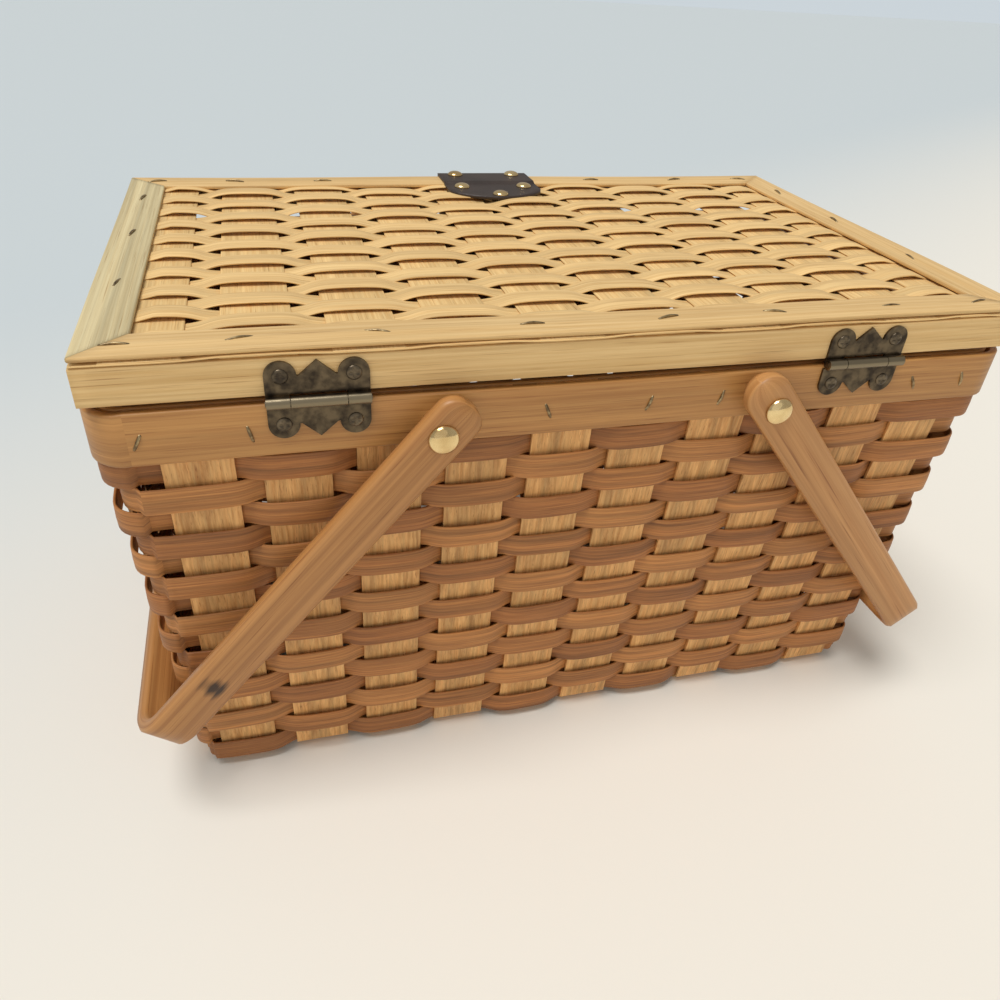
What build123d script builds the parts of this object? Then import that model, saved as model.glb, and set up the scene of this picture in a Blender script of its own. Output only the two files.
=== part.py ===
from build123d import *
import math
import os

# Picnic basket of woven wood splints, with a hinged lid and two swing handles.
# Millimetres. The origin is on the table under the middle of the basket.
# +X is towards the right handle, +Y towards the hinges, +Z up.

# Splints of the body
stake_width = 23.5
stakes_long_side = 10
corner_room_long_side = 6.4
end_stake_width = 23.0
stakes_short_side = 6
corner_room_short_side = 4.9
stake_thickness = 1.2
weaver_thickness = 1.0
weaver_rows = 16
weaver_gap = 0.65
splint_clearance = 0.1
base_bend = 3.0
corner_share = 0.55

# Rim
rim_length = 360.0
rim_depth = 216.0
rim_thickness = 3.0
rim_corner = 14.0
rim_bottom = 170.0
rim_height = 20.0
splint_top_drop = 1.0

# Lean of the walls, from the rim down to the table
taper_long_side = 12.9
taper_short_side = 11.9

# Lid
lid_inset = 2.0
lid_gap = 2.8
board_height = 13.5
board_thickness = 6.0
mat_thickness = 0.5
mat_stake_width = 24.0
mat_stakes = 10
mat_side_room = 8.5
mat_strips = 13
mat_strip_gap = 0.6
slat_width = 17.0
slat_thickness = 1.8

# Handles
pivot_drop = 12.0
handle_reach = 171.0
handle_width = 18.0
handle_thickness = 6.0
handle_bend = 10.0
handle_stub = 16.0
handle_side_gap = 5.2
handle_rest_gap = 0.5
rivet_radius = 2.0
rivet_clearance = 0.06
rivet_head_radius = 5.5
rivet_head_height = 3.0
washer_radius = 6.0
burr_radius = 3.6
burr_thickness = 1.0
running_gap = 0.3

# Hinges
hinge_x = 105.0
hinge_width = 34.0
barrel_radius = 2.1
hinge_setback = 2.4
hinge_pin_radius = 1.0
hinge_pin_clearance = 0.05
leaf_thickness = 1.0
leaf_height = 11.5
ear_radius = 5.2
leaf_point_width = 12.0
outer_knuckle = 7.6
knuckle_gap = 0.3
screw_head_radius = 2.6
screw_head_height = 0.8
screw_shank_radius = 0.9
screw_clearance = 0.05

# Latch
latch_x = -4.0
leather_thickness = 1.8
tab_width = 50.0
tab_length = 48.0
tab_point = 16.0
tab_corner = 5.0
tab_overhang = 1.1
flap_length = 48.0
flap_width = 44.0
flap_corner = 12.0
flap_offset = 2.4
flap_tilt = 12.0
slot_width = 18.0
slot_height = 7.6
slot_corner = 2.0
turn_drop = 10.0
plate_width = 26.0
plate_height = 13.0
plate_thickness = 1.0
turn_length = 15.0
turn_height = 5.0
turn_thickness = 2.2
turn_gap = 2.7
turn_stem_radius = 1.8
nail_head_radius = 4.0
nail_head_height = 1.8
nail_shank_radius = 0.8
nail_row_x = (16.0, 17.0)
nail_row_back = (5.0, 26.4)
nail_tip_back = 42.0

# Sizes that follow from the ones above
half_length = rim_length / 2
half_depth = rim_depth / 2
rim_top = rim_bottom + rim_height
stake_offset = rim_thickness + splint_clearance + stake_thickness / 2
inner_band_offset = rim_thickness + 2 * splint_clearance + stake_thickness
weave_step = stake_thickness / 2 + splint_clearance + weaver_thickness / 2
level_step = stake_thickness + splint_clearance
base_level = level_step + stake_thickness / 2
weave_bottom = base_level + base_bend + splint_clearance
weaver_pitch = (rim_bottom - weave_bottom) / weaver_rows
splint_top = rim_top - splint_top_drop
board_bottom = rim_top + lid_gap
board_top = board_bottom + board_height
lid_half_length = half_length - lid_inset
mat_step = mat_thickness + splint_clearance
mat_middle = board_top + mat_step + mat_thickness / 2
mat_top = mat_middle + mat_step + mat_thickness / 2
slat_bottom = mat_top + splint_clearance
lid_top = slat_bottom + slat_thickness
foot_half_length = half_length - stake_offset - taper_short_side
foot_half_depth = half_depth - stake_offset - taper_long_side
stake_pitch = 2 * (foot_half_length - corner_room_long_side - stake_width / 2) / (stakes_long_side - 1)
end_stake_pitch = 2 * (foot_half_depth - corner_room_short_side - end_stake_width / 2) / (stakes_short_side - 1)
mat_stake_pitch = 2 * (lid_half_length - mat_side_room - mat_stake_width / 2) / (mat_stakes - 1)
pivot_x = 2 * stake_pitch
pivot_z = rim_top - pivot_drop
leg_inner = half_depth + handle_side_gap
leg_outer = leg_inner + handle_thickness
hinge_y = half_depth + hinge_setback
hinge_z = (rim_top + board_bottom) / 2
ear_drop = hinge_setback + leaf_height - ear_radius
ear_x = hinge_width / 2 - ear_radius
turn_z = rim_top - turn_drop
flap_y = -half_depth - flap_offset
flap_z = lid_top + leather_thickness / 2

os.makedirs("parts", exist_ok=True)


def wall_y(z):
    """Middle plane of the long-side stakes: it leans in below the rim."""
    return half_depth - stake_offset - taper_long_side * max(0.0, rim_bottom - z) / rim_bottom


def wall_x(z):
    """Middle plane of the short-side stakes."""
    return half_length - stake_offset - taper_short_side * max(0.0, rim_bottom - z) / rim_bottom


def centres(count, pitch):
    """Places of a row of splints, spaced evenly about the middle."""
    return [(i - (count - 1) / 2) * pitch for i in range(count)]


def band_outline(points, thickness):
    """Outline of a thin band: its middle line moved half a thickness to each side, corners mitred."""
    runs = [(b[0] - a[0], b[1] - a[1]) for a, b in zip(points, points[1:])]
    units = [(x / math.hypot(x, y), y / math.hypot(x, y)) for x, y in runs]
    left, right = [], []
    for i, (x, y) in enumerate(points):
        before = units[max(i - 1, 0)]
        after = units[min(i, len(units) - 1)]
        scale = thickness / 2 / (1 + before[0] * after[0] + before[1] * after[1])
        dx = -(before[1] + after[1]) * scale
        dy = (before[0] + after[0]) * scale
        left.append((x + dx, y + dy))
        right.append((x - dx, y - dy))
    return left + right[::-1]


def splint_path(wall, across):
    """Middle line of a body splint: down one wall, across the base and up the other wall."""
    bend = base_level + base_bend
    down = [(wall(rim_bottom), splint_top), (wall(rim_bottom), rim_bottom), (wall(bend), bend)]
    down.append((wall(base_level) - base_bend, base_level))
    return down + across + [(-u, z) for u, z in reversed(down)]


def over_and_under(places, width, middle, step, first):
    """Middle line of a splint that passes over and under a row of flat ones, flat across each."""
    points, level = [], first
    for place in places:
        points += [(place + width / 2, middle + level * step), (place - width / 2, middle + level * step)]
        level = -level
    return points


def weaver_loop(row, z, side):
    """Edge of a weaver at a height, in and out round the stakes: side is 1 on its outer face, -1 inside."""
    skin = side * weaver_thickness / 2
    loop, stake = [], row
    for turn in range(4):
        if turn % 2 == 0:
            places, width = centres(stakes_long_side, stake_pitch), stake_width
            wall, reach = wall_y(z), wall_x(z)
        else:
            places, width = centres(stakes_short_side, end_stake_pitch), end_stake_width
            wall, reach = wall_x(z), wall_y(z)
        last_edge = places[-1] + width / 2
        corner = reach - corner_share * (reach - last_edge) + skin * math.tan(math.radians(22.5))
        run = [(-corner, wall + skin)]
        for place in places:
            stake += 1
            out = wall + skin + (weave_step if stake % 2 else -weave_step)
            run += [(place - width / 2, out), (place + width / 2, out)]
        run.append((corner, wall + skin))
        quarter = [lambda s, d: (-s, d), lambda s, d: (-d, -s), lambda s, d: (s, -d), lambda s, d: (d, s)]
        loop += [quarter[turn](s, d) for s, d in run]
    return loop


def round_headed(shank_radius, shank_length, head_radius, head_height):
    """A domed head on a shank, at the current locations: their Z axis points out of the head."""
    shoulder = math.radians(35)
    crown_radius = head_radius * math.cos(shoulder)
    crown_low = head_height * math.sin(shoulder)
    foot = (Align.CENTER, Align.CENTER, Align.MIN)
    Cylinder(shank_radius, shank_length, align=(Align.CENTER, Align.CENTER, Align.MAX))
    Cone(head_radius, crown_radius, crown_low, align=foot)
    with Locations((0, 0, crown_low)):
        Cone(crown_radius, crown_radius / 2, head_height - crown_low, align=foot)


def facing_y(x, y, z):
    """A plane at a point that faces away from the basket's middle along Y."""
    return Plane(origin=(x, y, z), x_dir=(1, 0, 0), z_dir=(0, math.copysign(1, y), 0))


def write_piece(piece, name):
    """Label a finished sub-part and write its STEP file."""
    piece.part.label = name
    export_step(piece.part, f"parts/{name}.step")


# Stakes: each cross splint runs down the back wall, under the base and up the front wall
with BuildPart() as cross_splints:
    for x in centres(stakes_long_side, stake_pitch):
        with BuildSketch(Plane.YZ.offset(x)):
            with BuildLine():
                Polyline(band_outline(splint_path(wall_y, []), stake_thickness), close=True)
            make_face()
        extrude(amount=stake_width / 2, both=True)
write_piece(cross_splints, "cross_splints")

# The long splints weave over and under the cross splints in the base and stand up as the end stakes
with BuildPart() as long_splints:
    for i, y in enumerate(centres(stakes_short_side, end_stake_pitch)):
        places = centres(stakes_long_side, stake_pitch)[::-1]
        across = over_and_under(places, stake_width, base_level, level_step, 1 if i % 2 else -1)
        with BuildSketch(Plane.XZ.offset(-y)):
            with BuildLine():
                Polyline(band_outline(splint_path(wall_x, across), stake_thickness), close=True)
            make_face()
        extrude(amount=end_stake_width / 2, both=True)
write_piece(long_splints, "long_splints")

# Weavers: sixteen hoops, each in front of every other stake and behind the rest, row 1 at the top
for row in range(1, weaver_rows + 1):
    low = rim_bottom - row * weaver_pitch + weaver_gap / 2
    high = low + weaver_pitch - weaver_gap
    with BuildPart() as weaver:
        for side, mode in ((1, Mode.ADD), (-1, Mode.SUBTRACT)):
            for z in (low, high):
                with BuildSketch(Plane.XY.offset(z)):
                    with BuildLine():
                        Polyline(weaver_loop(row, z, side), close=True)
                    make_face()
            loft(ruled=True, mode=mode)
    write_piece(weaver, f"weaver_{row:02d}")

# Rim: an outer and an inner hoop clamp the ends of the stakes
pivots = [(sx * pivot_x, sy) for sx in (1, -1) for sy in (1, -1)]
rim_screws = [(sx * hinge_x + ex * ear_x, half_depth) for sx in (1, -1) for ex in (1, -1)]
for name, offset in (("rim_outer_band", 0.0), ("rim_inner_band", inner_band_offset)):
    with BuildPart() as band:
        with BuildSketch(Plane.XY.offset(rim_bottom)):
            for inset, mode in ((offset, Mode.ADD), (offset + rim_thickness, Mode.SUBTRACT)):
                RectangleRounded(rim_length - 2 * inset, rim_depth - 2 * inset, rim_corner - inset, mode=mode)
        extrude(amount=rim_height)
        with Locations(*[facing_y(x, sy * (half_depth - offset), pivot_z) for x, sy in pivots]):
            Cylinder(rivet_radius + rivet_clearance, 3 * rim_thickness, mode=Mode.SUBTRACT)
        if offset == 0.0:
            with Locations(*[facing_y(x, y, hinge_z - ear_drop) for x, y in rim_screws]):
                Cylinder(screw_shank_radius + screw_clearance, 3 * rim_thickness, mode=Mode.SUBTRACT)
            with Locations(facing_y(latch_x, -half_depth, turn_z)):
                Cylinder(turn_stem_radius + hinge_pin_clearance, 3 * rim_thickness, mode=Mode.SUBTRACT)
    write_piece(band, name)

# Lid frame: four boards on edge, butted at the corners
board_y = half_depth - board_thickness / 2
board_x = lid_half_length - board_thickness / 2
end_board_length = rim_depth - 2 * board_thickness
for name, x, y, length, depth in (
    ("lid_board_back", 0, board_y, 2 * lid_half_length, board_thickness),
    ("lid_board_front", 0, -board_y, 2 * lid_half_length, board_thickness),
    ("lid_board_right", board_x, 0, board_thickness, end_board_length),
    ("lid_board_left", -board_x, 0, board_thickness, end_board_length),
):
    with BuildPart() as board:
        with Locations((x, y, board_bottom)):
            Box(length, depth, board_height, align=(Align.CENTER, Align.CENTER, Align.MIN))
        if name == "lid_board_back":
            with Locations(*[facing_y(px, py, hinge_z + ear_drop) for px, py in rim_screws]):
                Cylinder(screw_shank_radius + screw_clearance, 2 * board_thickness, mode=Mode.SUBTRACT)
    write_piece(board, name)

# Lid mat: flat stakes across the lid with strips woven over and under them
with BuildPart() as lid_stakes:
    with Locations(*[(x, 0, mat_middle) for x in centres(mat_stakes, mat_stake_pitch)]):
        Box(mat_stake_width, rim_depth, mat_thickness)
write_piece(lid_stakes, "lid_stakes")

mat_strip_pitch = rim_depth / mat_strips
with BuildPart() as lid_weavers:
    for i, y in enumerate(centres(mat_strips, mat_strip_pitch)):
        places = centres(mat_stakes, mat_stake_pitch)[::-1]
        across = over_and_under(places, mat_stake_width, mat_middle, mat_step, 1 if i % 2 else -1)
        path = [(lid_half_length, mat_middle)] + across + [(-lid_half_length, mat_middle)]
        with BuildSketch(Plane.XZ.offset(-y)):
            with BuildLine():
                Polyline(band_outline(path, mat_thickness), close=True)
            make_face()
        extrude(amount=(mat_strip_pitch - mat_strip_gap) / 2, both=True)
write_piece(lid_weavers, "lid_weavers")

# Lid slats: flat strips with mitred ends that hold the mat down on the boards
outer_corners = [(lid_half_length, half_depth), (-lid_half_length, half_depth),
                 (-lid_half_length, -half_depth), (lid_half_length, -half_depth)]
inner_corners = [(math.copysign(abs(x) - slat_width, x), math.copysign(abs(y) - slat_width, y))
                 for x, y in outer_corners]
for i, name in enumerate(("lid_slat_back", "lid_slat_left", "lid_slat_front", "lid_slat_right")):
    j = (i + 1) % 4
    with BuildPart() as slat:
        with BuildSketch(Plane.XY.offset(slat_bottom)):
            with BuildLine():
                Polyline(outer_corners[i], outer_corners[j], inner_corners[j], inner_corners[i], close=True)
            make_face()
        extrude(amount=slat_thickness)
    write_piece(slat, name)

# Hinges: butterfly leaves on the rim and on the back board, joined by a pin
inner_knuckle = hinge_width / 2 - outer_knuckle - knuckle_gap
outer_knuckle_x = hinge_width / 2 - outer_knuckle / 2
for side, label in ((1, "right"), (-1, "left")):
    axis_plane = Plane(origin=(side * hinge_x, hinge_y, hinge_z), x_dir=(0, 1, 0), z_dir=(1, 0, 0))
    for up, leaf_name in ((-1, "lower_leaf"), (1, "upper_leaf")):
        knuckles = [(0.0, 2 * inner_knuckle)] if up < 0 else [
            (outer_knuckle_x, outer_knuckle), (-outer_knuckle_x, outer_knuckle)]
        plate_height_z = leaf_height - ear_radius
        with BuildPart() as leaf:
            with BuildSketch(Plane(origin=(side * hinge_x, half_depth, hinge_z), x_dir=(1, 0, 0),
                                   z_dir=(0, -1, 0))):
                with Locations((0, up * (hinge_setback + plate_height_z / 2))):
                    Rectangle(hinge_width, plate_height_z)
                with Locations((ear_x, up * ear_drop), (-ear_x, up * ear_drop)):
                    Circle(ear_radius)
                with BuildLine():
                    Polyline((-leaf_point_width / 2, up * ear_drop), (leaf_point_width / 2, up * ear_drop),
                             (0, up * (hinge_setback + leaf_height)), close=True)
                make_face()
                for x, width in knuckles:
                    with Locations((x, up * hinge_setback / 2)):
                        Rectangle(width, hinge_setback)
            extrude(amount=-leaf_thickness)
            for x, width in knuckles:
                with Locations(axis_plane.offset(x)):
                    Cylinder(barrel_radius, width)
            with Locations(axis_plane):
                Cylinder(hinge_pin_radius + hinge_pin_clearance, 2 * hinge_width, mode=Mode.SUBTRACT)
            with Locations(*[facing_y(side * hinge_x + x, half_depth, hinge_z + up * ear_drop)
                             for x in (ear_x, -ear_x)]):
                Cylinder(screw_shank_radius + screw_clearance, 4 * leaf_thickness, mode=Mode.SUBTRACT)
        write_piece(leaf, f"{label}_hinge_{leaf_name}")
    with BuildPart() as hinge_pin:
        with Locations(axis_plane):
            Cylinder(hinge_pin_radius, hinge_width + 2 * knuckle_gap)
    write_piece(hinge_pin, f"{label}_hinge_pin")

screw_length = leaf_thickness + rim_thickness - splint_clearance
for name, z in (("rim_hinge_screws", hinge_z - ear_drop), ("lid_hinge_screws", hinge_z + ear_drop)):
    with BuildPart() as screws:
        with Locations(*[facing_y(x, half_depth + leaf_thickness, z) for x, y in rim_screws]):
            round_headed(screw_shank_radius, screw_length, screw_head_radius, screw_head_height)
    write_piece(screws, name)

# Handles: bent-wood hoops that hang against the end walls
weave_face = weave_step + weaver_thickness / 2
wall_slope = taper_short_side / rim_bottom
corner_reach = math.hypot(handle_reach, handle_width / 2)
foot_x = wall_x(0) + weave_face + wall_slope * pivot_z + handle_rest_gap - pivot_x
corner_angle = math.atan(wall_slope) + math.acos(foot_x / corner_reach / math.hypot(1, wall_slope))
hang_angle = corner_angle - math.atan(handle_width / 2 / handle_reach)
print(f"handles hang {math.degrees(hang_angle):.2f} degrees below level")
for side, name in ((1, "right_handle"), (-1, "left_handle")):
    down = (side * math.cos(hang_angle), 0, -math.sin(hang_angle))
    leg_plane = Plane(origin=(side * pivot_x, 0, pivot_z), x_dir=down,
                      z_dir=(math.sin(hang_angle), 0, side * math.cos(hang_angle)))
    with BuildPart() as handle:
        with BuildSketch(leg_plane) as hoop:
            for reach, half, mode in ((handle_reach + handle_thickness, leg_outer, Mode.ADD),
                                      (handle_reach, leg_inner, Mode.SUBTRACT)):
                with BuildLine():
                    Polyline((-handle_stub, -half), (reach, -half), (reach, half), (-handle_stub, half), close=True)
                make_face(mode=mode)
            fillet(hoop.vertices().group_by(Axis.X)[1], handle_bend)
            fillet(hoop.vertices().group_by(Axis.X)[-1], handle_bend + handle_thickness)
        extrude(amount=handle_width / 2, both=True)
        fillet(handle.edges().filter_by(Axis.Y).sort_by(SortBy.LENGTH)[:4], handle_width / 2 - 0.05)
        with Locations(facing_y(side * pivot_x, 0, pivot_z)):
            Cylinder(rivet_radius + rivet_clearance, 4 * leg_outer, mode=Mode.SUBTRACT)
    write_piece(handle, name)

# Handle rivets: a domed head outside each leg, and a burr closed over inside the rim
shank_end = half_depth - inner_band_offset - rim_thickness - burr_thickness
with BuildPart() as pivot_rivets:
    with Locations(*[facing_y(x, sy * (leg_outer + running_gap), pivot_z) for x, sy in pivots]):
        round_headed(rivet_radius, leg_outer + running_gap - shank_end, rivet_head_radius, rivet_head_height)
    with Locations(*[facing_y(x, sy * shank_end, pivot_z) for x, sy in pivots]):
        Cylinder(burr_radius, burr_thickness, align=(Align.CENTER, Align.CENTER, Align.MIN))
write_piece(pivot_rivets, "pivot_rivets")

with BuildPart() as pivot_washers:
    with Locations(*[facing_y(x, sy * half_depth, pivot_z) for x, sy in pivots]):
        Cylinder(washer_radius, handle_side_gap - running_gap, align=(Align.CENTER, Align.CENTER, Align.MIN))
        Cylinder(rivet_radius + rivet_clearance, 4 * handle_side_gap, mode=Mode.SUBTRACT)
write_piece(pivot_washers, "pivot_washers")

# Latch tab: a pointed leather shield nailed over the front slat, lying down on to the mat behind it
tab_front = -half_depth - tab_overhang
tab_back = tab_front + tab_length
slat_edge = -half_depth + slat_width
tab_low = mat_top + splint_clearance + leather_thickness / 2
nails = [(sx * x, tab_front + back) for x, back in zip(nail_row_x, nail_row_back) for sx in (1, -1)]
nails.append((0.0, tab_front + nail_tip_back))
nail_planes = [Plane(origin=(latch_x + x, y, (flap_z if y < slat_edge else tab_low) + leather_thickness / 2))
               for x, y in nails]
with BuildPart() as latch_tab:
    with BuildSketch(Plane.YZ.offset(latch_x)):
        with BuildLine():
            Polyline(band_outline([(tab_front, flap_z), (slat_edge + leather_thickness / 2, flap_z),
                                   (slat_edge + 1.5 * leather_thickness, tab_low), (tab_back, tab_low)],
                                  leather_thickness), close=True)
        make_face()
    extrude(amount=tab_width / 2, both=True)
    with BuildSketch() as shield:
        with BuildLine():
            Polyline((latch_x - tab_width / 2, tab_front), (latch_x + tab_width / 2, tab_front),
                     (latch_x + tab_width / 2, tab_back - tab_point), (latch_x, tab_back),
                     (latch_x - tab_width / 2, tab_back - tab_point), close=True)
        make_face()
        fillet(shield.vertices().group_by(Axis.Y)[1] + shield.vertices().group_by(Axis.Y)[2], tab_corner)
    extrude(amount=2 * lid_top, mode=Mode.INTERSECT)
    with Locations(*nail_planes):
        Cylinder(nail_shank_radius + screw_clearance, 3 * leather_thickness, mode=Mode.SUBTRACT)
write_piece(latch_tab, "latch_tab")

with BuildPart() as latch_nails:
    with Locations(*nail_planes):
        round_headed(nail_shank_radius, leather_thickness - splint_clearance, nail_head_radius, nail_head_height)
write_piece(latch_nails, "latch_nails")

# Latch flap: hangs from the tab's front edge and has a slot that passes over the turn button
tilt = math.radians(flap_tilt)
flap_plane = Plane(origin=(latch_x, flap_y, flap_z), x_dir=(1, 0, 0), z_dir=(0, math.cos(tilt), -math.sin(tilt)))
with BuildPart() as latch_flap:
    with BuildSketch(flap_plane) as flap_outline:
        with Locations((0, flap_length / 2)):
            Rectangle(flap_width, flap_length)
        fillet(flap_outline.vertices().group_by(Axis.Y)[-1], flap_corner)
        with Locations((0, flap_z - turn_z)):
            RectangleRounded(slot_width, slot_height, slot_corner, mode=Mode.SUBTRACT)
    extrude(amount=leather_thickness / 2, both=True)
    with Locations(Plane(origin=(latch_x, flap_y, flap_z), z_dir=(1, 0, 0))):
        Cylinder(leather_thickness / 2, flap_width)
write_piece(latch_flap, "latch_flap")

# Turn button: a small plate on the rim's front with a cross piece that turns across the slot
with BuildPart() as latch_plate:
    with BuildSketch(facing_y(latch_x, -half_depth, turn_z)):
        RectangleRounded(plate_width, plate_height, slot_corner)
    extrude(amount=plate_thickness)
    with Locations(facing_y(latch_x, -half_depth, turn_z)):
        Cylinder(turn_stem_radius + hinge_pin_clearance, 4 * plate_thickness, mode=Mode.SUBTRACT)
write_piece(latch_plate, "latch_plate")

turn_inner = half_depth + plate_thickness + turn_gap
with BuildPart() as turn_button:
    with Locations(facing_y(latch_x, -turn_inner, turn_z)):
        Cylinder(turn_stem_radius, turn_inner - half_depth + rim_thickness - splint_clearance,
                 align=(Align.CENTER, Align.CENTER, Align.MAX))
    with BuildSketch(facing_y(latch_x, -turn_inner, turn_z)):
        SlotOverall(turn_length, turn_height)
    extrude(amount=turn_thickness)
write_piece(turn_button, "turn_button")
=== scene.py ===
import math

import bmesh
import bpy
import numpy as np
from mathutils import Euler, Matrix, Vector


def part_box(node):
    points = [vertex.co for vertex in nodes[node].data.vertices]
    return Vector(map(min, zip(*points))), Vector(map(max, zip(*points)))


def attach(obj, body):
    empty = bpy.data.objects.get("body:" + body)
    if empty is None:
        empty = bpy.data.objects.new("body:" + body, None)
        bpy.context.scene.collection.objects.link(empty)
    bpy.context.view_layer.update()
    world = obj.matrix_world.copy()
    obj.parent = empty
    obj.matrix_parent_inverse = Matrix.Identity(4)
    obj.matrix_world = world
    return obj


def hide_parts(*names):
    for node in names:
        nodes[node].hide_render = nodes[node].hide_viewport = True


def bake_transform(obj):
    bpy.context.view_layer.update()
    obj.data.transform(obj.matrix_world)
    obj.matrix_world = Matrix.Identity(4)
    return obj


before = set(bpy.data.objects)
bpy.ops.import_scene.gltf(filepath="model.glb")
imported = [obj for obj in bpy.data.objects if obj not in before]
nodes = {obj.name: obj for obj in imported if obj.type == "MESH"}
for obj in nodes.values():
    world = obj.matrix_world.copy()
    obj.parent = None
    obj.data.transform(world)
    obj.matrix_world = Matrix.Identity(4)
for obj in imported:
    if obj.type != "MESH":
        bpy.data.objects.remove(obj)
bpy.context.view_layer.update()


# Table, light and camera
# The basket stands on a warm white table that fades to cool grey behind it, under a soft sun from above.
# The camera looks from above the hinge side, towards the right handle, turned a little about its own axis.
def new_paint(name):
    """A fresh material, with its node tree, its shader and its texture coordinates."""
    paint = bpy.data.materials.new(name)
    paint.use_nodes = True
    tree = paint.node_tree
    return paint, tree, tree.nodes["Principled BSDF"], tree.nodes.new("ShaderNodeTexCoord")


def mixed(tree, first, second, factor, blend="MIX"):
    """Two colours mixed. Each input is an output of another node, or a plain value."""
    node = tree.nodes.new("ShaderNodeMix")
    node.data_type = "RGBA"
    node.blend_type = blend
    for key, value in (("A", first), ("B", second), ("Factor", factor)):
        if isinstance(value, bpy.types.NodeSocket):
            tree.links.new(value, node.inputs[key])
        else:
            node.inputs[key].default_value = value
    return node.outputs["Result"]


camera_place = (0.11792, 0.35448, 0.31914)
camera_tilt, camera_lean, camera_turn = 55.5402, -3.4071, 164.7647
focal_share = 0.81584
camera_data = bpy.data.cameras.new("camera")
camera_data.sensor_width = 36.0
camera_data.lens = 36.0 * focal_share
camera = bpy.data.objects.new("camera", camera_data)
turned = Euler([math.radians(angle) for angle in (camera_tilt, camera_lean, camera_turn)])
camera.matrix_world = Matrix.Translation(camera_place) @ turned.to_matrix().to_4x4()
bpy.context.scene.collection.objects.link(camera)
bpy.context.scene.camera = camera
bpy.context.scene.view_settings.view_transform = "Standard"

world = bpy.data.worlds.new("studio")
world.use_nodes = True
world_tree = world.node_tree
glow = world_tree.nodes["Background"]
glow.inputs["Color"].default_value = (1.0, 0.98, 0.95, 1.0)
glow.inputs["Strength"].default_value = 0.36
seen = world_tree.nodes.new("ShaderNodeBackground")
seen.inputs["Color"].default_value = (0.60, 0.66, 0.70, 1.0)
seen.inputs["Strength"].default_value = 1.0
ray = world_tree.nodes.new("ShaderNodeLightPath")
either = world_tree.nodes.new("ShaderNodeMixShader")
world_tree.links.new(ray.outputs["Is Camera Ray"], either.inputs["Fac"])
world_tree.links.new(glow.outputs["Background"], either.inputs[1])
world_tree.links.new(seen.outputs["Background"], either.inputs[2])
world_tree.links.new(either.outputs["Shader"], world_tree.nodes["World Output"].inputs["Surface"])
bpy.context.scene.world = world
for name, place, spread, strength in (
    ("key", (0.30, 0.16, 1.0), 30.0, 2.15),
    ("fill", (0.3, 1.0, 0.5), 70.0, 0.30),
):
    lamp_data = bpy.data.lights.new(name, "SUN")
    lamp_data.angle = math.radians(spread)
    lamp_data.energy = strength
    lamp = bpy.data.objects.new(name, lamp_data)
    lamp.matrix_world = (-Vector(place)).to_track_quat("-Z", "Y").to_matrix().to_4x4()
    bpy.context.scene.collection.objects.link(lamp)

table_size = 6.0
table_mesh = bpy.data.meshes.new("table")
table_corners = [(x * table_size, y * table_size, 0.0) for x, y in ((-1, -1), (1, -1), (1, 1), (-1, 1))]
table_mesh.from_pydata(table_corners, [], [(0, 1, 2, 3)])
table = bpy.data.objects.new("table", table_mesh)
bpy.context.scene.collection.objects.link(table)
table_paint, tree, shader, place = new_paint("table_paint")
far = tree.nodes.new("ShaderNodeVectorMath")
far.operation = "DOT_PRODUCT"
far.inputs[1].default_value = (0.6, -1.0, 0.0)
fade_out = tree.nodes.new("ShaderNodeMapRange")
fade_out.interpolation_type = "SMOOTHSTEP"
fade_out.inputs["From Min"].default_value = -0.2
fade_out.inputs["From Max"].default_value = 0.75
tree.links.new(place.outputs["Object"], far.inputs[0])
tree.links.new(far.outputs["Value"], fade_out.inputs["Value"])
near_tone, far_tone = (0.86, 0.82, 0.73, 1.0), (0.58, 0.64, 0.66, 1.0)
tree.links.new(mixed(tree, near_tone, far_tone, fade_out.outputs["Result"]), shader.inputs["Base Color"])
shader.inputs["Roughness"].default_value = 0.7
table.data.materials.append(table_paint)


# Stakes
# Wide, stiff splints of pale split wood stand in the walls and cross in the base, with their grain running
# up the walls. They are the modelled solids.
def ramp(tree, value, low, high, first, last):
    """A colour that turns from the first to the last as the value goes from low to high."""
    node = tree.nodes.new("ShaderNodeValToRGB")
    for stop, position, colour in zip(node.color_ramp.elements, (low, high), (first, last)):
        stop.position = position
        stop.color = (*colour, 1.0)
    tree.links.new(value, node.inputs["Fac"])
    return node.outputs["Color"]


def add_relief(tree, shader, height, strength, distance):
    """Bump the shader's surface by a height."""
    relief = tree.nodes.new("ShaderNodeBump")
    relief.inputs["Strength"].default_value = strength
    relief.inputs["Distance"].default_value = distance
    tree.links.new(height, relief.inputs["Height"])
    tree.links.new(relief.outputs["Normal"], shader.inputs["Normal"])


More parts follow.
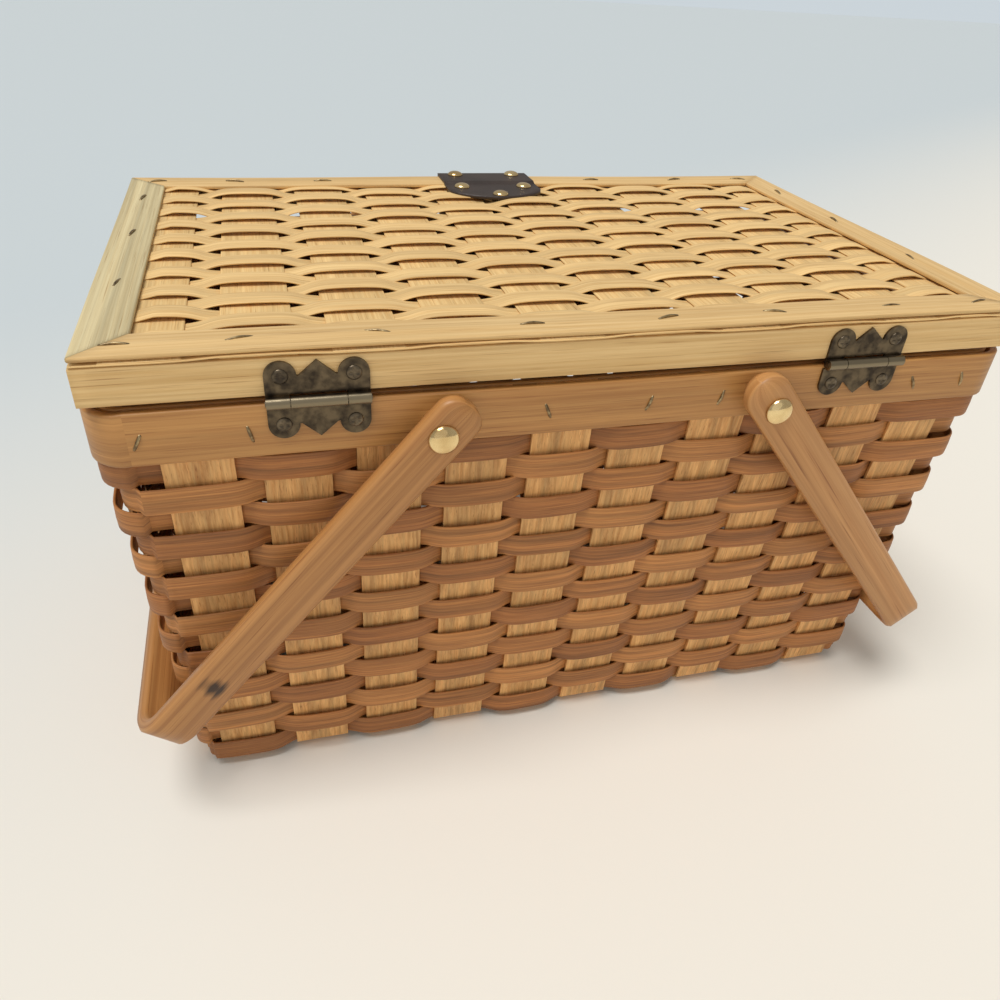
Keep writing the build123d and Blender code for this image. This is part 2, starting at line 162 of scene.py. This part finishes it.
def wood(name, pale, dark, grain, rough=0.55, bump=0.25, blotch=0.4, by_path=True, stain=None):
    """Streaks drawn out along the grain mix two colours; soft patches, pores and a stain darken them."""
    paint, tree, shader, place = new_paint(name)
    source = place.outputs["UV" if by_path else "Object"]

    def streaks(scale, detail):
        mapping = tree.nodes.new("ShaderNodeMapping")
        mapping.inputs["Scale"].default_value = scale
        tree.links.new(source, mapping.inputs["Vector"])
        noise = tree.nodes.new("ShaderNodeTexNoise")
        noise.inputs["Scale"].default_value = 1.0
        noise.inputs["Detail"].default_value = detail
        noise.inputs["Roughness"].default_value = 0.65
        tree.links.new(mapping.outputs["Vector"], noise.inputs["Vector"])
        return noise.outputs["Fac"]

    fine = streaks(grain, 5.0)
    wide = streaks(tuple(g * 0.22 for g in grain), 3.0)
    white, pore_brown, stain_brown = (1.0, 1.0, 1.0), (0.62, 0.50, 0.40), (0.10, 0.08, 0.07)
    tiny = streaks(tuple(g * 2.6 for g in grain), 2.0)
    colour = ramp(tree, fine, 0.36, 0.62, dark, pale)
    layers = [ramp(tree, wide, 0.3, 0.62, (1.0 - blotch,) * 3, white),
              ramp(tree, tiny, 0.60, 0.72, white, pore_brown)]
    if stain:
        distance = tree.nodes.new("ShaderNodeVectorMath")
        distance.operation = "DISTANCE"
        distance.inputs[1].default_value = stain
        tree.links.new(place.outputs["Object"], distance.inputs[0])
        ragged = tree.nodes.new("ShaderNodeMath")
        ragged.operation = "MULTIPLY_ADD"
        ragged.inputs[1].default_value = 0.012
        tree.links.new(fine, ragged.inputs[0])
        tree.links.new(distance.outputs["Value"], ragged.inputs[2])
        layers.append(ramp(tree, ragged.outputs["Value"], 0.0085, 0.0115, stain_brown, white))
    for layer in layers:
        colour = mixed(tree, colour, layer, 1.0, "MULTIPLY")
    tree.links.new(colour, shader.inputs["Base Color"])
    shader.inputs["Roughness"].default_value = rough
    add_relief(tree, shader, fine, bump, 0.0006)
    return paint


def repaint(names, paint):
    """Give CAD nodes a new material."""
    for name in names:
        nodes[name].data.materials.clear()
        nodes[name].data.materials.append(paint)


stake_wood = wood("stake_splint", (0.93, 0.53, 0.195), (0.70, 0.33, 0.098), (900.0, 900.0, 22.0),
                  by_path=False)
repaint(("cross_splints", "long_splints"), stake_wood)


# Weavers
# Thin, narrow splints woven in front of one stake and behind the next, sixteen rows high. Each one swells
# out over a stake and sinks between two, and goes round the corners in a tight curve.
def piece(name, points, faces, uvs, paint, body, stands_for=()):
    """A mesh piece from arrays, with its own map, finish, body and the nodes that it stands for."""
    mesh = bpy.data.meshes.new(name)
    mesh.from_pydata(points.tolist(), [], faces)
    mesh.uv_layers.new(name="grain").data.foreach_set("uv", uvs.ravel().astype(np.float32))
    mesh.polygons.foreach_set("use_smooth", [True] * len(mesh.polygons))
    solid = bmesh.new()
    solid.from_mesh(mesh)
    if solid.calc_volume(signed=True) < 0:
        mesh.flip_normals()
    solid.free()
    mesh.materials.append(paint)
    thing = bpy.data.objects.new(name, mesh)
    bpy.context.scene.collection.objects.link(thing)
    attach(thing, body)
    if stands_for:
        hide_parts(*stands_for)


def grid_faces(rows, columns, close_rows=False, close_columns=False):
    """Quads of a grid of points, row after row; either way may close on itself."""
    i = np.arange(rows if close_rows else rows - 1)[:, None]
    j = np.arange(columns if close_columns else columns - 1)[None, :]
    a, b = (i % rows) * columns, ((i + 1) % rows) * columns
    c, d = j % columns, (j + 1) % columns
    return np.stack([a + c, a + d, b + d, b + c], -1).reshape(-1, 4)


def rounded_section(width, thickness, edge, steps=3):
    """Closed section of a strip: a rectangle with quarter-round edges, as offsets across and through it."""
    turn = np.linspace(0, math.pi / 2, steps + 1)
    corner = [(sx * (width / 2 - edge), sy * (thickness / 2 - edge), start)
              for sx, sy, start in ((1, 1, 0), (-1, 1, 1), (-1, -1, 2), (1, -1, 3))]
    return np.array([(x + edge * math.cos(t + k * math.pi / 2), y + edge * math.sin(t + k * math.pi / 2))
                     for x, y, k in corner for t in turn])


def crowned(section, outer, inner):
    """A strip's section with one point more in the middle of its outer face and one in its inner face."""
    quarter = len(section) // 4
    return np.insert(section, [quarter, 3 * quarter], [[0.0, outer], [0.0, inner]], axis=0)


def swept(path, out, across, section):
    """Grid of points: the section laid out at each place of the path, along its across and out directions."""
    out, across = np.broadcast_to(out, path.shape), np.broadcast_to(across, path.shape)
    return (path[:, None] + across[:, None] * section[None, :, 0, None]
            + out[:, None] * section[None, :, 1, None])


def corner_map(along, round_it):
    """Map of a grid's quads, corner by corner, from the distance of each row and of each column."""
    i = np.arange(len(along) - 1)[:, None]
    j = np.arange(len(round_it) - 1)[None, :]
    corners = [(i, j), (i, j + 1), (i + 1, j + 1), (i + 1, j)]
    pairs = [np.stack(np.broadcast_arrays(along[a], round_it[b]), -1) for a, b in corners]
    return np.stack(pairs, -2).reshape(-1, 2)


def distances(points):
    """Length along a line of points, starting at 0."""
    return np.concatenate([[0.0], np.cumsum(np.linalg.norm(np.diff(points, axis=0), axis=1))])


def looped(points):
    """The same points with the first one put again at the end."""
    return np.concatenate([points, points[:1]])


def end_faces(rows, columns):
    """The two flat faces that close the ends of a tube of points."""
    return [list(range(columns))[::-1], list(range((rows - 1) * columns, rows * columns))]


def strip_part(path, out, across, section, seed, closed=False):
    """Points, faces and map of a strip swept along a path; an open one has a flat face at each end."""
    points = swept(path, out, across, section)
    rows, columns = points.shape[:2]
    faces = grid_faces(rows, columns, closed, True).tolist()
    along = distances(looped(path) if closed else path) + seed * 1.37
    round_it = distances(looped(section)) + seed * 0.61
    uvs = corner_map(along, round_it)
    if not closed:
        faces += end_faces(rows, columns)
        uvs = np.concatenate([uvs, np.tile(section * (0.2, 1.0) + seed, (2, 1))])
    return points.reshape(-1, 3), faces, uvs


def gather(name, parts, paint, body, stands_for=()):
    """One piece from several: their points, faces and maps are put end to end."""
    points, faces, uvs, base = [], [], [], 0
    for part_points, part_faces, part_uvs in parts:
        points.append(part_points)
        uvs.append(part_uvs)
        faces += [[base + v for v in face] for face in part_faces]
        base += len(part_points)
    piece(name, np.concatenate(points), faces, np.concatenate(uvs), paint, body, stands_for)


def rounded_loop(half_x, half_y, radius, spacing):
    """Points, outward normals and stake counts of a rounded rectangle, from the +X end of its +Y side."""
    quarters = (((-1, 0), (0, 1)), ((0, -1), (-1, 0)), ((1, 0), (0, -1)), ((0, 1), (1, 0)))
    runs = []
    for turn in range(4):
        long_side = turn % 2 == 0
        reach, wall = (half_x, half_y) if long_side else (half_y, half_x)
        straight = reach - radius
        count = max(2, int(2 * straight / spacing))
        s = np.linspace(-straight, straight, count)
        angle = np.linspace(0, math.pi / 2, 9)[1:-1]
        s_all = np.concatenate([s, straight + radius * np.sin(angle)])
        d_all = np.concatenate([np.full(count, wall), wall - radius + radius * np.cos(angle)])
        n_s = np.concatenate([np.zeros(count), np.sin(angle)])
        n_d = np.concatenate([np.ones(count), np.cos(angle)])
        pitch = stake_pitch if long_side else end_stake_pitch
        places = (np.arange(stakes[turn]) - (stakes[turn] - 1) / 2) * pitch
        first = sum(stakes[:turn])
        ends = np.concatenate([[-reach - radius * 0.2], places, [reach + radius * 0.2]])
        counts = np.concatenate([[first + 0.5], first + 1.0 + np.arange(stakes[turn]),
                                 [first + stakes[turn] + 0.5]])
        phase = np.interp(s_all, ends, counts)
        s_axis, d_axis = np.array(quarters[turn], float)
        xy = s_all[:, None] * s_axis + d_all[:, None] * d_axis
        normal = n_s[:, None] * s_axis + n_d[:, None] * d_axis
        runs.append((xy, normal, phase))
    return [np.concatenate(parts) for parts in zip(*runs)]


def level_band(xy, normal, z, up, section, seed):
    """A closed strip that runs round the basket: the loop's points at the heights z, facing its normals."""
    out = np.column_stack([normal, np.zeros(len(xy))])
    return strip_part(np.column_stack([xy, z]), out, up, section, seed, closed=True)


x_axis, y_axis, z_axis = np.eye(3)
stake_pitch = 0.0325
end_stake_pitch = 0.030
stakes = (10, 6, 10, 6)
weave_swell = 0.0025
weaver_thickness, weaver_crown, weaver_hollow = 0.00095, 0.00062, -0.00032
weaver_rows = 16
weaver_wood_colours = [((0.56, 0.232, 0.060), (0.36, 0.128, 0.031)),
                       ((0.49, 0.192, 0.048), (0.31, 0.107, 0.026)),
                       ((0.64, 0.280, 0.078), (0.44, 0.168, 0.042))]
weaver_woods = [wood(f"weaver_splint_{i}", pale, dark, (26.0, 1500.0, 1.0), blotch=0.5, bump=0.35)
                for i, (pale, dark) in enumerate(weaver_wood_colours)]
wall_inset = 0.0017
for row in range(1, weaver_rows + 1):
    name = f"weaver_{row:02d}"
    low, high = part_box(name)
    corner_radius = 0.0105 - 0.0004 * row
    xy, normal, phase = rounded_loop(high.x - wall_inset, high.y - wall_inset, corner_radius, spacing=0.0022)
    wave = np.cos(math.pi * (phase + row))
    swell = -weave_swell * np.tanh(2.0 * wave) / math.tanh(2.0) * (1.0 + 0.12 * np.sin(phase * 2.3 + row))
    wobble = 0.00022 * np.sin(phase * 1.7 + row * 2.1) + 0.00015 * np.sin(phase * 0.63 + row)
    spread = 1.0 + 0.02 * np.sin(phase * 1.1 + row * 1.3)
    section = rounded_section(high.z - low.z + 0.00045, weaver_thickness, edge=0.00035, steps=2)
    section = crowned(section, weaver_crown, weaver_hollow)
    band = level_band(xy + normal * swell[:, None], normal, (low.z + high.z) / 2 + wobble,
                      spread[:, None] * z_axis, section, row * 0.37)
    gather(name, [band], weaver_woods[row % 3], "basket", (name,))

# Rim hoops
# Two bent wooden bands clamp the ends of the stakes, one outside and one inside. The outer one stands proud
# of the weave, and both have long, even grain.
rim_wood = wood("rim_wood", (0.57, 0.285, 0.085), (0.42, 0.185, 0.050), (9.0, 520.0, 1.0), rough=0.45,
                blotch=0.22)
band_thickness = 0.003
inset = band_thickness / 2
for name, radius in (("rim_outer_band", 0.014), ("rim_inner_band", 0.0096)):
    low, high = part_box(name)
    xy, normal, phase = rounded_loop(high.x - inset, high.y - inset, radius - inset, spacing=0.006)
    z = (low.z + high.z) / 2 + 0.00025 * np.sin(phase * 0.9)
    section = rounded_section(high.z - low.z - 0.0005, band_thickness, edge=0.0008)
    band = level_band(xy, normal, z, z_axis, section, radius)
    gather(name, [band], rim_wood, "basket", (name,))


# Lid boards
# Four pale boards on edge, butted at the corners, with long open grain on their faces.
def lid_edge(name):
    """Middle, size, length axis and outward side of a straight piece that lies along one edge of the lid."""
    low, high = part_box(name)
    middle, size = (low + high) / 2, high - low
    if size.x > size.y:
        return middle, size, x_axis, math.copysign(1, middle.y) * y_axis
    return middle, size, y_axis, math.copysign(1, middle.x) * x_axis


lid_wood = wood("lid_wood", (0.84, 0.58, 0.265), (0.70, 0.44, 0.170), (8.0, 600.0, 1.0), rough=0.7, bump=0.4,
                blotch=0.18)
board_thickness = 0.006
board_places = 60
for name in ("lid_board_back", "lid_board_front", "lid_board_right", "lid_board_left"):
    middle, size, axis, side = lid_edge(name)
    s = np.linspace(-0.5, 0.5, board_places) * max(size.x, size.y)
    sag = 0.0001 * np.sin(s * 23.0 + middle.x * 40)
    path = np.array(middle) + s[:, None] * axis + sag[:, None] * z_axis
    section = rounded_section(size.z - 0.0002, board_thickness, edge=0.0008)
    board = strip_part(path, side, z_axis, section, middle.x * 9)
    gather(name, [board], lid_wood, "lid", (name,))

# Lid mat
# Cross stakes lie flat, and strips run the length of the lid over one and under the next, nearly touching.
# There are as many strips as the photograph shows, which is more than the modelled solids.
lid_splint = wood("lid_splint", (0.93, 0.65, 0.290), (0.78, 0.49, 0.190), (16.0, 900.0, 1.0), rough=0.6,
                  bump=0.35, blotch=0.25)
mat_stakes = 10
mat_stake_pitch = 0.035
stake_low, stake_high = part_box("lid_stakes")
mat_level = (stake_low.z + stake_high.z) / 2
mat_middle = (mat_stakes - 1) / 2
section = rounded_section(width=0.024, thickness=0.0005, edge=0.0002, steps=1)
parts = []
for i in range(mat_stakes):
    s = np.linspace(stake_low.y + 0.0003, stake_high.y - 0.0003, 30)
    path = np.column_stack([np.full(30, (i - mat_middle) * mat_stake_pitch), s, np.full(30, mat_level)])
    parts.append(strip_part(path, z_axis, -x_axis, section, i * 0.7))
gather("lid_stakes", parts, lid_splint, "lid", ("lid_stakes",))

strips = 21
strip_low, strip_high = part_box("lid_weavers")
strip_pitch = (strip_high.y - strip_low.y + 0.0006) / strips
over_rise, under_sink, edge_rise = 0.0019, 0.0011, 0.0004
nailed_from, nailed_run, nailed_drop = 0.155, 0.010, 0.0004
section = rounded_section(strip_pitch - 0.0001, thickness=0.0006, edge=0.00025, steps=2)
section = crowned(section, 0.0004, -0.0002)
parts = []
for i in range(strips):
    y = (i - (strips - 1) / 2) * strip_pitch
    s = np.linspace(strip_low.x + 0.0004, strip_high.x - 0.0004, 240)
    wave = np.cos(math.pi * (s / mat_stake_pitch + mat_middle + i))
    rise = edge_rise if i in (0, strips - 1) else over_rise
    arch = np.where(wave > 0, rise, min(rise, under_sink)) * np.tanh(1.8 * wave) / math.tanh(1.8)
    arch *= 1.0 + 0.15 * np.sin(s * 31 + i * 2.0)
    nailed = np.clip((np.abs(s) - nailed_from) / nailed_run, 0.0, 1.0)
    level = mat_level + arch * (1.0 - nailed) - nailed_drop * nailed
    path = np.column_stack([s, y + 0.0002 * np.sin(s * 12 + i), level])
    parts.append(strip_part(path, z_axis, y_axis, section, i * 0.53))
gather("lid_weavers", parts, lid_splint, "lid", ("lid_weavers",))

# Lid slats
# Flat strips of wood with mitred ends are stapled round the lid over the mat. The right one is newer and
# paler wood.
pale_wood = wood("pale_slat", (0.78, 0.66, 0.38), (0.66, 0.52, 0.27), (9.0, 900.0, 1.0), rough=0.7, bump=0.4)
slat_places = 50
for name in ("lid_slat_back", "lid_slat_front", "lid_slat_right", "lid_slat_left"):
    middle, size, axis, side = lid_edge(name)
    width, length = sorted((size.x, size.y))
    section = rounded_section(width - 0.0005, size.z, edge=0.0006)
    share = np.linspace(-1, 1, slat_places)[:, None]
    s = share * (length / 2 - width / 2 + section[:, 0] - 0.0002)[None]
    rise = section[None, :, 1] + 0.00022 * np.sin(s * 29 + middle.y * 50)
    points = (np.array(middle) + s[..., None] * axis + section[None, :, 0, None] * side
              + rise[..., None] * z_axis)
    faces = grid_faces(slat_places, len(section), False, True).tolist() + end_faces(slat_places, len(section))
    round_it = distances(looped(section)) + middle.x + middle.y
    uvs = np.concatenate([corner_map(share[:, 0] * length / 2, round_it), np.tile(section, (2, 1))])
    pale = name == "lid_slat_right"
    piece(name, points.reshape(-1, 3), faces, uvs, pale_wood if pale else lid_wood, "lid",
          (name,))


# Hinges
# Two butterfly hinges of dark bronze, worn bright on the barrels that stand out behind the rim. They are
# the modelled solids.
def metal(name, clean, dull, rough, scale, worn=None, worn_from=0.0):
    """Soft noise mixes bare and tarnished metal; what stands out past a plane along Y may be worn bright."""
    paint, tree, shader, place = new_paint(name)
    noise = tree.nodes.new("ShaderNodeTexNoise")
    noise.inputs["Scale"].default_value = scale
    noise.inputs["Detail"].default_value = 6.0
    tree.links.new(place.outputs["Object"], noise.inputs["Vector"])
    colour = ramp(tree, noise.outputs["Fac"], 0.35, 0.65, dull, clean)
    if worn:
        parts_of = tree.nodes.new("ShaderNodeSeparateXYZ")
        edge = tree.nodes.new("ShaderNodeMapRange")
        edge.inputs["From Min"].default_value = worn_from
        edge.inputs["From Max"].default_value = worn_from + 0.0008
        tree.links.new(place.outputs["Object"], parts_of.inputs["Vector"])
        tree.links.new(parts_of.outputs["Y"], edge.inputs["Value"])
        colour = mixed(tree, colour, (*worn, 1.0), edge.outputs["Result"])
    tree.links.new(colour, shader.inputs["Base Color"])
    shader.inputs["Metallic"].default_value = 0.9
    shader.inputs["Roughness"].default_value = rough
    add_relief(tree, shader, noise.outputs["Fac"], 0.3, 0.0002)
    return paint


worn_bronze = metal("worn_bronze", (0.150, 0.112, 0.068), (0.040, 0.030, 0.021), 0.30, 260.0,
                    worn=(0.24, 0.195, 0.125), worn_from=0.1108)
repaint([name for name in nodes if "hinge" in name], worn_bronze)


# Rivets and washers
# A brass rivet with a large domed head holds each handle leg. Its end is closed over a burr inside the rim,
# and a brass washer keeps the leg off the wood.
def dome_part(centre, out, radius, height, slot_depth=0.0):
    """A domed head: rings of points from rim to top, closed below; a cross may be sunk into its top."""
    out = np.array(out, float)
    first = x_axis if abs(out[0]) < 0.9 else y_axis
    second = np.cross(out, first)
    rings, sides = 9, 32
    t = np.linspace(0, 1, rings)[:, None]
    a = np.linspace(0, 2 * math.pi, sides, endpoint=False)[None]
    r = radius * np.cos(t * math.pi / 2) + radius * 0.02
    h = height * np.sin(t * math.pi / 2)
    u, v = r * np.cos(a), r * np.sin(a)
    near, away = np.minimum(np.abs(u), np.abs(v)), np.maximum(np.abs(u), np.abs(v))
    cross = (near < radius * 0.16) & (away < radius * 0.62)
    h = h * np.ones_like(a) - slot_depth * cross
    centre = np.array(centre)
    points = (centre + u[..., None] * first + v[..., None] * second + h[..., None] * out).reshape(-1, 3)
    points = np.concatenate([points, [centre]])
    faces = grid_faces(rings, sides, False, True).tolist()
    faces.append(list(range((rings - 1) * sides, rings * sides)))
    faces += [[len(points) - 1, (j + 1) % sides, j] for j in range(sides)]
    return points, faces, points[np.concatenate(faces)][:, :2]


brass = metal("brass", (0.86, 0.66, 0.34), (0.62, 0.42, 0.18), 0.16, 120.0)
repaint(("pivot_washers",), brass)
low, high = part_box("pivot_rivets")
rivet_radius, rivet_height, head_room = 0.0055, 0.0029, 0.003
burr_radius, burr_height, burr_y = 0.0036, 0.001, 0.1006
pivot_x = (high.x - low.x) / 2 - rivet_radius
pivot_z = (low.z + high.z) / 2
parts = []
for sx in (1, -1):
    for sy in (1, -1):
        head, burr = (sx * pivot_x, sy * (high.y - head_room), pivot_z), (sx * pivot_x, sy * burr_y, pivot_z)
        parts.append(dome_part(head, (0, sy, 0), rivet_radius, rivet_height))
        parts.append(dome_part(burr, (0, -sy, 0), burr_radius, burr_height))
gather("pivot_rivets", parts, brass, "basket", ("pivot_rivets",))

# Hinge screws
# Small domed screws with a cross slot, one in each round ear of a leaf.
bronze = metal("dark_bronze", (0.20, 0.155, 0.10), (0.055, 0.042, 0.030), 0.30, 260.0)
hinge_x, ear_x = 0.105, 0.0118
screw_radius, screw_height, cross_depth = 0.0026, 0.0009, 0.0004
hinge_screw_x = [sx * hinge_x + ex * ear_x for sx in (1, -1) for ex in (1, -1)]
for name, body in (("rim_hinge_screws", "basket"), ("lid_hinge_screws", "lid")):
    low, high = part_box(name)
    ear_z = (low.z + high.z) / 2
    parts = [dome_part((x, high.y - 0.0008, ear_z), (0, 1, 0), screw_radius, screw_height, cross_depth)
             for x in hinge_screw_x]
    gather(name, parts, bronze, body, (name,))

# Handles
# Each handle is one strip of wood, steamed and bent twice into a hoop, with bevelled edges. Its legs run a
# little past the rivets, with a round end on the left handle and a squarer one on the right.
bent_wood = wood("bent_wood", (0.62, 0.310, 0.108), (0.48, 0.213, 0.064), (6.0, 380.0, 1.0), rough=0.42,
                 bump=0.15, blotch=0.22)
stained_wood = wood("stained_wood", (0.55, 0.262, 0.082), (0.40, 0.170, 0.048), (6.0, 380.0, 1.0), rough=0.42,
                    bump=0.15, blotch=0.3, stain=(0.1529, 0.1192, 0.0756))
leg_middle = 0.1162
reach = 0.174
bend = 0.013
half_width = 0.009
half_thickness = 0.003
bevel = 0.0013
for name, body, side, stub, corner in (("right_handle", "right_handle_hoop", 1, 0.0146, 0.0068),
                                       ("left_handle", "left_handle_hoop", -1, 0.016, 0.0088)):
    low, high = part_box(name)
    diagonal = math.hypot(reach + half_thickness, half_width)
    hang = math.asin((pivot_z - low.z) / diagonal) - math.asin(half_width / diagonal)
    down = np.array((side * math.cos(hang), 0.0, -math.sin(hang)))
    flat = np.array((side * math.sin(hang), 0.0, math.cos(hang)))
    leg = np.concatenate([-stub + corner * (1 - np.cos(np.linspace(0, math.pi / 2, 9))),
                          np.linspace(-stub + corner, reach - bend, 40)[1:]])
    arc = np.linspace(0, math.pi / 2, 10)[1:]
    u = np.concatenate([leg, reach - bend + bend * np.sin(arc)])
    y = np.concatenate([np.full(len(leg), leg_middle), leg_middle - bend + bend * np.cos(arc)])
    out_u = np.concatenate([np.zeros(len(leg)), np.sin(arc)])
    out_y = np.concatenate([np.ones(len(leg)), np.cos(arc)])
    across = np.linspace(leg_middle - bend, -(leg_middle - bend), 30)[1:-1]
    u = np.concatenate([u, np.full(len(across), reach), u[::-1]])
    y_all = np.concatenate([y, across, -y[::-1]])
    out_u = np.concatenate([out_u, np.ones(len(across)), out_u[::-1]])
    out_y = np.concatenate([out_y, np.zeros(len(across)), -out_y[::-1]])
    past_end = np.clip(corner - (u + stub), 0, corner)
    narrow = 1 - (corner - np.sqrt(np.maximum(corner**2 - past_end**2, 1e-9))) / half_width
    path = np.array((side * pivot_x, 0.0, pivot_z)) + u[:, None] * down + y_all[:, None] * y_axis
    out = out_u[:, None] * down + out_y[:, None] * y_axis
    section = rounded_section(2 * half_width, 2 * half_thickness, bevel, steps=1)
    part = strip_part(path, out, side * flat * narrow[:, None], section, side)
    gather(name, [part], stained_wood if side > 0 else bent_wood, body, (name,))

# Latch leather
# One shield of dark leather is nailed over the front slat and folds down over the lid's front edge. A slot
# in its hanging end goes over the turn button.
leather, tree, shader, place = new_paint("leather")
cells = tree.nodes.new("ShaderNodeTexVoronoi")
cells.inputs["Scale"].default_value = 900.0
cloud = tree.nodes.new("ShaderNodeTexNoise")
cloud.inputs["Scale"].default_value = 60.0
tree.links.new(place.outputs["Object"], cells.inputs["Vector"])
tree.links.new(place.outputs["Object"], cloud.inputs["Vector"])
brown = ramp(tree, cloud.outputs["Fac"], 0.0, 1.0, (0.018, 0.012, 0.010), (0.060, 0.038, 0.028))
tree.links.new(brown, shader.inputs["Base Color"])
add_relief(tree, shader, cells.outputs["Distance"], 0.35, 0.0003)
shader.inputs["Roughness"].default_value = 0.5

tab_low, tab_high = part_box("latch_tab")
flap_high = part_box("latch_flap")[1]
latch_x = (tab_low.x + tab_high.x) / 2
fold_y = -0.1104
leather_thickness = 0.0017
middle_to_top = 0.0009
fold_z = (flap_high.z + tab_high.z) / 2 - middle_to_top
tilt = math.radians(12)
flap_run = 0.047
tab_half, flap_half, tip_half, tip_run, end_round = 0.025, 0.022, 0.0015, 0.016, 0.012
slot_half, slot_share = 0.0038, 0.409
mid_low = fold_z - 0.0010
route = np.array([(tab_high.y - 0.0006, mid_low), (-0.0885, mid_low), (-0.0902, fold_z), (-0.1078, fold_z),
                  (-0.1096, fold_z - 0.0004), (fold_y - 0.0004, fold_z - 0.0022),
                  (fold_y - math.sin(tilt) * flap_run, fold_z - math.cos(tilt) * flap_run)])
stops = distances(route)
slot_at = stops[5] + 0.0286
slot_edges = [slot_at - slot_half, slot_at + slot_half]
along = np.unique(np.concatenate([np.linspace(0, stops[-1], 75), slot_edges]))
yz = np.column_stack([np.interp(along, stops, route[:, k]) for k in (0, 1)])
tip = np.clip(along / tip_run, 0, 1)
half_w = tip_half + (tab_half - tip_half) * np.sqrt(tip * (2 - tip)) ** 1.25
limit = np.interp(along, [0, stops[4], stops[5], stops[-1]], [tab_half, 0.0247, flap_half, flap_half])
half_w = np.minimum(half_w, limit)
end = np.clip(stops[-1] - along, 0, end_round)
half_w = half_w - (end_round - np.sqrt(np.maximum(end_round**2 - (end_round - end)**2, 1e-8)))
lanes = np.array([-1.0, -0.8, -0.6, -slot_share, -0.2, 0.0, 0.2, slot_share, 0.6, 0.8, 1.0])
points = np.stack([latch_x + half_w[:, None] * lanes[None], np.repeat(yz[:, :1], len(lanes), 1),
                   np.repeat(yz[:, 1:], len(lanes), 1)], -1)
faces = grid_faces(len(along), len(lanes))
row_mid = (along[faces[:, 0] // len(lanes)] + along[faces[:, 2] // len(lanes)]) / 2
lane_mid = (lanes[faces[:, 0] % len(lanes)] + lanes[faces[:, 2] % len(lanes)]) / 2
holes = (np.abs(row_mid - slot_at) < slot_half) & (np.abs(lane_mid) < slot_share)
faces = faces[~holes]
leather_mesh = bpy.data.meshes.new("latch_leather")
leather_mesh.from_pydata(points.reshape(-1, 3).tolist(), [], faces.tolist())
latch = bpy.data.objects.new("latch_leather", leather_mesh)
bpy.context.scene.collection.objects.link(latch)
wall = latch.modifiers.new("thickness", "SOLIDIFY")
wall.thickness = leather_thickness
wall.offset = 0.0
wall.use_even_offset = False
leather_mesh = bpy.data.meshes.new_from_object(latch.evaluated_get(bpy.context.evaluated_depsgraph_get()))
latch.modifiers.clear()
latch.data = leather_mesh
leather_mesh.materials.append(leather)
leather_mesh.polygons.foreach_set("use_smooth", [True] * len(leather_mesh.polygons))
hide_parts("latch_tab", "latch_flap")
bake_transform(latch)

# Latch nails, plate and turn button
# Domed brass nails hold the leather to the lid. The button turns on a brass plate on the rim. Each nail's
# place is in millimetres, across from the leather's middle and back from its tip.
nail_places = [(16.0, 5.0), (-16.0, 5.0), (17.0, 26.4), (-17.0, 26.4), (0.0, 42.0)]
nail_radius, nail_height = 0.004, 0.0019
slat_edge = -0.091
parts = []
for x, back in nail_places:
    y = tab_low.y + back * 0.001
    top = (fold_z if y < slat_edge else mid_low) + middle_to_top
    parts.append(dome_part((latch_x + x * 0.001, y, top), (0, 0, 1), nail_radius, nail_height))
gather("latch_nails", parts, brass, "lid", ("latch_nails",))
repaint(("latch_plate", "turn_button"), brass)


# Staples and rim nails
# Thin wire staples hold the slats to the lid boards, and bent nails hold the rim's outer band.
def staple_part(centre, along_dir, out_dir, length, rise, wire):
    """A wire bowed out over a surface: half a sine, with a round section that sinks in at both ends."""
    t = np.linspace(0, 1, 9)
    centre, along_dir, out_dir = (np.array(v, float) for v in (centre, along_dir, out_dir))
    bow = rise * np.sin(math.pi * t) - wire
    path = centre + (t[:, None] - 0.5) * length * along_dir + bow[:, None] * out_dir
    side_dir = np.cross(along_dir, out_dir)
    a = np.linspace(0, 2 * math.pi, 8, endpoint=False)
    section = wire * np.column_stack([np.cos(a), np.sin(a)])
    return strip_part(path, out_dir, side_dir, section, 0.0)


steel = metal("worn_steel", (0.50, 0.38, 0.20), (0.16, 0.11, 0.06), 0.35, 500.0)
slat_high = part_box("lid_slat_back")[1]
staple = {"length": 0.009, "rise": 0.0007, "wire": 0.00045}
bent_nail = {"length": 0.0065, "rise": 0.0008, "wire": 0.0006}
staple_z = slat_high.z + 0.0002
end_staple_x = 0.1695
rim_face, rim_middle = 0.1081, 0.1795
parts = []
for side in (1, -1):
    for i, x in enumerate((-0.160, -0.118, -0.066, -0.022, 0.030, 0.084, 0.128, 0.165)):
        turn = 0.3 * math.sin(i * 2.1 + side)
        if side < 0 and abs(x) < 0.035:
            continue
        parts.append(staple_part((x, side * (slat_high.y - 0.0085), staple_z),
                                 (math.cos(turn), math.sin(turn), 0), (0, 0, 1), **staple))
    for y in (-0.07, -0.015, 0.045):
        parts.append(staple_part((side * end_staple_x, y, staple_z), (0.2, 0.98, 0), (0, 0, 1), **staple))
gather("lid_staples", parts, steel, "lid")
parts = []
for side in (1, -1):
    for i, x in enumerate((-0.158, -0.134, -0.046, -0.016, 0.024, 0.128, 0.163)):
        lean = 0.5 * math.sin(i * 1.7 + 0.4)
        along_rim = (math.sin(lean), 0, math.cos(lean))
        parts.append(staple_part((x, side * rim_face, rim_middle), along_rim, (0, side, 0), **bent_nail))
gather("rim_nails", parts, steel, "basket")
